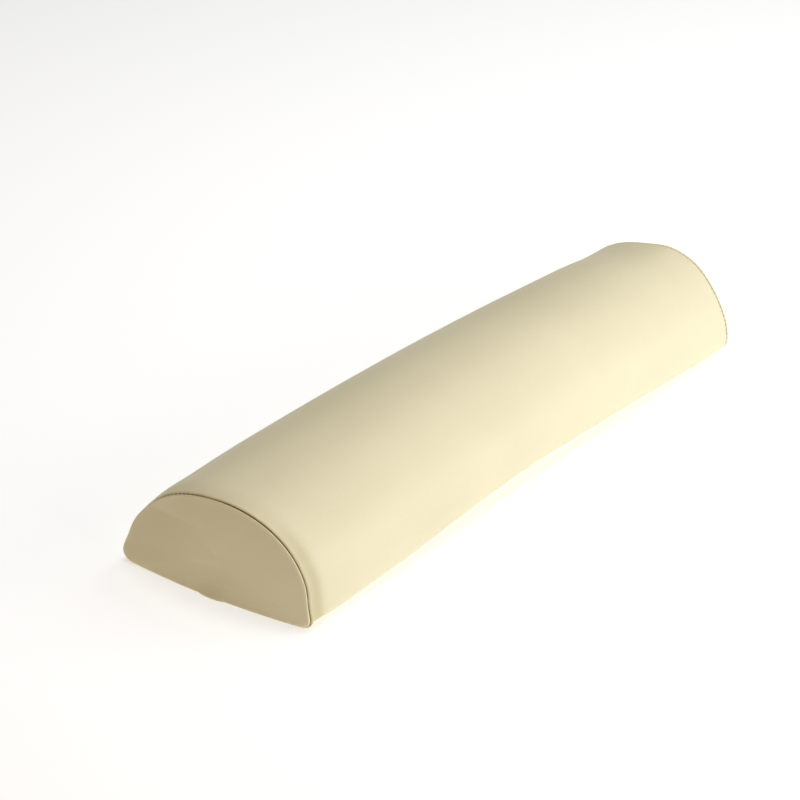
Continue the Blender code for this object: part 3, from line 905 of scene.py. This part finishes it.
def make_zip_stitches(name, side):
    """Stitches that hold the wrap's folded edge to the tape."""
    stop = END - ZIP_STOP - ZIP_STITCH_END
    part = np.linspace(0, 1, len(ZIP_STITCH_TAPER))
    depth = ZIP_STITCH_DEPTH + ZIP_STITCH_SINK * (2 * part - 1) ** 4
    stacks = []
    for start in np.arange(-stop, stop - ZIP_STITCH_LENGTH, ZIP_STITCH):
        x = start + ZIP_STITCH_LENGTH * part
        path = points_at(x, side * STITCH_LINE, zip_height(x, VALLEY_DEPTH) + depth)
        stacks.append(tube_rings(sculpt(path), ZIP_THREAD, ZIP_STITCH_TAPER))
    return join_rings("zip_stitches_" + name, stacks)


# Materials

def set_sockets(node, values):
    """Set a node's sockets by name."""
    for name, value in values.items():
        node.inputs[name].default_value = value


class Look:
    """A material being made, whose textures lie in the piece's own coordinates."""

    def __init__(self, name, shader_values):
        self.material = bpy.data.materials.new(name)
        self.material.use_nodes = True
        self.tree = self.material.node_tree
        self.shader = self.tree.nodes["Principled BSDF"]
        set_sockets(self.shader, shader_values)
        self.place = self.add("TexCoord")

    def add(self, kind, sockets=None, **properties):
        """Add a node and set its properties and sockets."""
        node = self.tree.nodes.new("ShaderNode" + kind)
        for name, value in properties.items():
            setattr(node, name, value)
        set_sockets(node, sockets or {})
        return node

    def link(self, source, output, target, socket):
        """Join two nodes."""
        self.tree.links.new(source.outputs[output], target.inputs[socket])

    def texture(self, kind, sockets, **properties):
        """Add a node that works on the piece's own coordinates."""
        node = self.add(kind, sockets, **properties)
        self.link(self.place, "Object", node, "Vector")
        return node

    def tone(self, source, output, tones, places):
        """Colour a texture's value, from a dark to a light tone between two of its values."""
        node = self.add("ValToRGB")
        for element, colour, place in zip(node.color_ramp.elements, tones, places):
            element.position = place
            element.color = (*colour, 1.0)
        self.link(source, output, node, "Fac")
        return node

    def colour(self, source, output, tones, places):
        """Colour the surface by a texture's value."""
        tone = self.tone(source, output, tones, places)
        self.link(tone, "Color", self.shader, "Base Color")

    def roughness(self, source, low, high):
        """Let a texture vary the shader's roughness."""
        node = self.add("MapRange", {"To Min": low, "To Max": high})
        self.link(source, "Fac", node, "Value")
        self.link(node, "Result", self.shader, "Roughness")

    def bump(self, source, output, strength, distance, below=None):
        """Let a texture's value raise the surface, over the bump below."""
        node = self.add("Bump", {"Strength": strength, "Distance": distance})
        self.link(source, output, node, "Height")
        if below:
            self.link(below, "Normal", node, "Normal")
        self.link(node, "Normal", self.shader, "Normal")
        return node


def vinyl_material():
    """Cream upholstery vinyl: satin, with a very fine pebble grain, faint cloudiness and painted shade
    from the mesh's attribute.
    """
    satin = {"Specular IOR Level": 0.30, "Sheen Weight": 0.03, "Sheen Roughness": 0.40}
    look = Look("cream_vinyl", satin)
    cloud = look.texture("TexNoise", {"Scale": 9.0, "Detail": 3.0, "Roughness": 0.5})
    tone = look.tone(cloud, "Fac", VINYL_TONES, (0.30, 0.72))
    grain = look.texture("TexVoronoi", {"Scale": 1500.0}, feature="SMOOTH_F1")
    pores = look.texture("TexNoise", {"Scale": 700.0, "Detail": 2.0, "Roughness": 0.6})
    speck = look.add("MixRGB", {"Fac": 0.10}, blend_type="MULTIPLY")
    look.link(tone, "Color", speck, "Color1")
    look.link(pores, "Fac", speck, "Color2")
    # Painted shade: the point attribute mixes the painted-shade colour into the vinyl
    painted_shade_node = look.add("Attribute", attribute_name="painted_shade")
    shade_mix = look.add("MixRGB", {"Color2": (*PAINTED_SHADE_COLOUR, 1.0)})
    look.link(painted_shade_node, "Fac", shade_mix, "Fac")
    look.link(speck, "Color", shade_mix, "Color1")
    look.link(shade_mix, "Color", look.shader, "Base Color")
    look.roughness(pores, 0.40, 0.54)
    grained = look.bump(grain, "Distance", 0.10, 0.00025)
    look.bump(cloud, "Fac", 0.10, 0.0015, below=grained)
    return look.material


def foam_material():
    """Pale open-cell foam."""
    look = Look("foam_cells", {"Roughness": 0.95})
    cells = look.texture("TexVoronoi", {"Scale": 420.0})
    look.colour(cells, "Distance", FOAM_TONES, (0.0, 0.55))
    look.bump(cells, "Distance", 0.6, 0.001)
    return look.material


def wadding_material():
    """White polyester fleece."""
    look = Look("fleece", {"Roughness": 1.0, "Sheen Weight": 0.4})
    tangle = {"Scale": 260.0, "Detail": 8.0, "Roughness": 0.75, "Distortion": 2.5}
    fibre = look.texture("TexNoise", tangle)
    look.colour(fibre, "Fac", FLEECE_TONES, (0.25, 0.70))
    look.bump(fibre, "Fac", 0.7, 0.0012)
    return look.material


def woven_material(name, tones, scale, roughness):
    """Woven or twisted yarn, as two crossing bands."""
    look = Look(name, {"Roughness": roughness})
    warp = look.texture("TexWave", {"Scale": scale, "Distortion": 0.6}, bands_direction="X")
    weft = look.texture("TexWave", {"Scale": scale * 0.8, "Distortion": 0.6}, bands_direction="DIAGONAL")
    both = look.add("Math", operation="MULTIPLY")
    look.link(warp, "Fac", both, 0)
    look.link(weft, "Fac", both, 1)
    look.colour(both, "Value", tones, (0.05, 0.75))
    look.bump(both, "Value", 0.5, 0.0002)
    return look.material


def coil_material():
    """Cream nylon, slightly glossy."""
    look = Look("coil_nylon", {"Roughness": 0.35})
    noise = look.texture("TexNoise", {"Scale": 900.0, "Detail": 3.0})
    look.colour(noise, "Fac", COIL_TONES, (0.3, 0.7))
    look.bump(noise, "Fac", 0.15, 0.0001)
    return look.material


def metal_material():
    """Nickel-plated zinc with fine handling scratches."""
    look = Look("nickel", {"Metallic": 1.0})
    stretch = look.texture("Mapping", {"Scale": (120.0, 2200.0, 900.0)})
    scratch = look.add("TexNoise", {"Scale": 1.0, "Detail": 4.0, "Roughness": 0.6})
    look.link(stretch, "Vector", scratch, "Vector")
    blotch = look.texture("TexNoise", {"Scale": 350.0, "Detail": 2.0})
    look.colour(blotch, "Fac", NICKEL_TONES, (0.3, 0.7))
    look.roughness(scratch, 0.22, 0.42)
    look.bump(scratch, "Fac", 0.08, 0.0001)
    return look.material


# Setting up

def place_piece(item, material, node, body="bolster"):
    """Give a piece its material, slot and body, and hide the CAD node that it stands for."""
    item.data.materials.clear()
    item.data.materials.append(material)
    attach(item, body)
    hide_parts(node)


def build_cover(swelling, vinyl, thread):
    """The wrap, both end panels and the thread of their seams."""
    place_piece(make_wrap(swelling), vinyl, "body_panel")
    for name, side, bulge in zip(("near", "far"), (-1, 1), PANEL_BULGES):
        cover = make_end_cover(name, side, bulge, swelling)
        place_piece(cover, vinyl, "end_panel_" + name)
        place_piece(make_seam_stitches(name, side), thread, "seam_thread_" + name)


def build_zip(tape, coil, thread):
    """Tapes, coils and stitches of the zip."""
    for name, side in (("left", 1), ("right", -1)):
        place_piece(make_tape(name, side), tape, "zip_tape_" + name)
        place_piece(make_coil(name, side), coil, "zip_coil_" + name)
        place_piece(make_zip_stitches(name, side), thread, "zip_thread_" + name)


def finish_metal(metal):
    """The slider and the pull keep their CAD shape, with softened edges."""
    for name in ("zip_slider", "zip_pull"):
        item = frame["nodes"][name]
        item.data.materials.clear()
        item.data.materials.append(metal)
        bevel = item.modifiers.new("soft_edges", "BEVEL")
        bevel.width = 0.00018
        bevel.segments = 2
        bevel.limit_method = "ANGLE"


def build_floor():
    """Plain pale floor."""
    low, high = -FLOOR_REACH, FLOOR_REACH
    corners = [(low, low, 0), (high, low, 0), (high, high, 0), (low, high, 0)]
    floor = new_object("floor", corners, [(0, 1, 2, 3)])
    material = bpy.data.materials.new("pale_floor")
    material.use_nodes = True
    set_sockets(material.node_tree.nodes["Principled BSDF"], {
        "Base Color": (*FLOOR_COLOUR, 1.0),
        "Roughness": 0.9,
        "Specular IOR Level": 0.1,
        "Emission Color": (*WHITE, 1.0),
        "Emission Strength": FLOOR_GLOW,
    })
    floor.data.materials.append(material)


def direction(azimuth, elevation):
    """Unit vector away from the bolster. Azimuth 0 is at -Y and 90 at +X."""
    turn, rise = math.radians(azimuth), math.radians(elevation)
    return Vector((math.sin(turn) * math.cos(rise), -math.cos(turn) * math.cos(rise), math.sin(rise)))


def area_light(name, azimuth, elevation, power, colour):
    """Square soft light, aimed at the bolster."""
    light = bpy.data.lights.new(name, "AREA")
    light.shape = "SQUARE"
    light.size = LIGHT_SIZE
    light.energy = power
    light.color = colour
    item = bpy.data.objects.new(name, light)
    bpy.context.scene.collection.objects.link(item)
    item.location = LIGHT_DISTANCE * direction(azimuth, elevation)
    item.rotation_euler = (CAMERA_TARGET - item.location).to_track_quat("-Z", "Y").to_euler()


def light_scene():
    """Soft studio light: low from the right front, from above, and weak from all round."""
    for light in LIGHTS:
        area_light(*light)
    world = bpy.data.worlds.new("surround")
    bpy.context.scene.world = world
    world.use_nodes = True
    sky = world.node_tree.nodes["Background"]
    set_sockets(sky, {"Color": (*WHITE, 1.0), "Strength": SURROUND})


def place_camera():
    """Camera above the near end's right, with a long lens."""
    azimuth, elevation, roll = CAMERA_ANGLES
    roll = math.radians(roll)
    back = direction(azimuth, elevation)
    level = direction(azimuth + 90, 0.0)
    upright = back.cross(level)
    right = level * math.cos(roll) + upright * math.sin(roll)
    up = upright * math.cos(roll) - level * math.sin(roll)
    place = CAMERA_TARGET + CAMERA_MOVE[0] * right + CAMERA_MOVE[1] * up + CAMERA_DISTANCE * back
    data = bpy.data.cameras.new("camera")
    data.sensor_width = 36.0
    data.lens = CAMERA_LENS
    data.clip_start = 0.05
    camera = bpy.data.objects.new("camera", data)
    bpy.context.scene.collection.objects.link(camera)
    axes = [(right[row], up[row], back[row], place[row]) for row in range(3)]
    camera.matrix_world = Matrix([*axes, (0.0, 0.0, 0.0, 1.0)])
    bpy.context.scene.camera = camera


def main():
    """Build every piece, the light and the camera."""
    thread = woven_material("thread_yarn", THREAD_TONES, scale=900.0, roughness=0.8)
    swelling = stuff_bag()
    build_cover(swelling, vinyl_material(), thread)
    place_piece(make_wadding(swelling), wadding_material(), "wadding_wrap")
    place_piece(make_foam(swelling), foam_material(), "foam_core")
    tape = woven_material("tape_weave", TAPE_TONES, scale=700.0, roughness=0.85)
    pale_thread = woven_material("zip_yarn", ZIP_THREAD_TONES, scale=900.0, roughness=0.75)
    build_zip(tape, coil_material(), pale_thread)
    finish_metal(metal_material())
    build_floor()
    light_scene()
    place_camera()
    bpy.context.scene.view_settings.view_transform = "Standard"


main()
bpy.context.view_layer.update()
